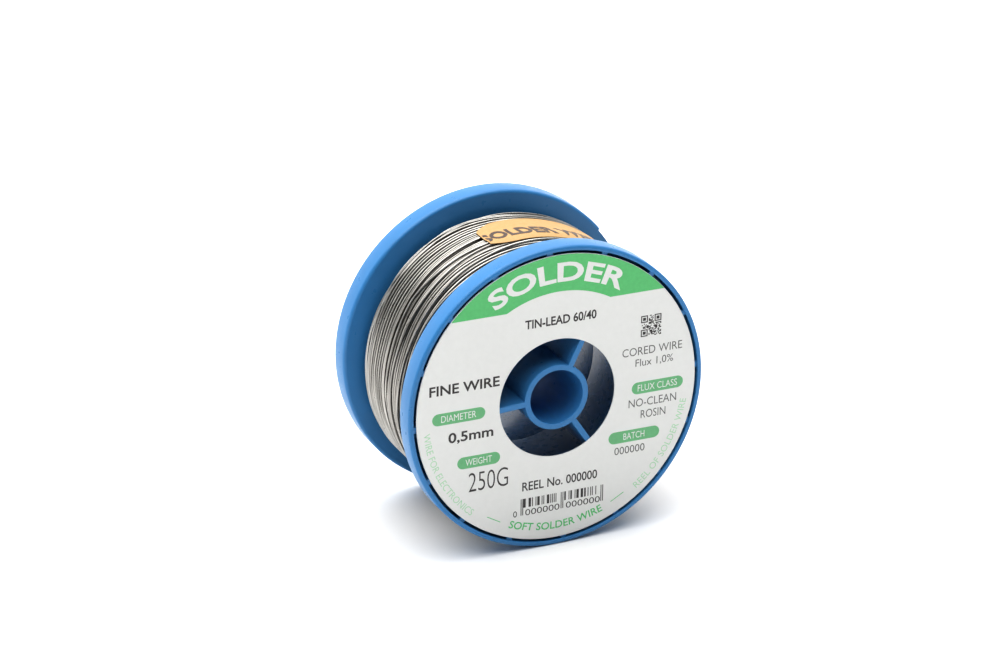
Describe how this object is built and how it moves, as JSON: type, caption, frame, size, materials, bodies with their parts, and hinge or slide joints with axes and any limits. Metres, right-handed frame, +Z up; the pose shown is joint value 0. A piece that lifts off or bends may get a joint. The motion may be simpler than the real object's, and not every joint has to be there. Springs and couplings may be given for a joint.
{
  "type": "solder wire spool",
  "caption": "Moulded plastic reel of thin solder wire, with two ribbed flanges, a hub with a spindle bore, a printed card label and a paper tape.",
  "frame": {"origin": "on the reel's axis at mid-width, the centre of the bounding box", "axes": "+Y along the reel's axis from the labelled front flange to the rear flange, +Z up as the label reads, +X to the right of the label"},
  "size_m": [0.063, 0.0372, 0.063],
  "materials": {
    "reel_plastic": "satin blue moulded polystyrene",
    "label_card": "matt white printed card",
    "solder_wire": "satin drawn tin-lead wire",
    "tape_paper": "matt orange printed paper"
  },
  "bodies": {
    "root": {"front_reel_half": "reel_plastic", "rear_reel_half": "reel_plastic", "front_label": "label_card", "solder_winding": "solder_wire", "paper_tape": "tape_paper"}
  },
  "joints": []
}
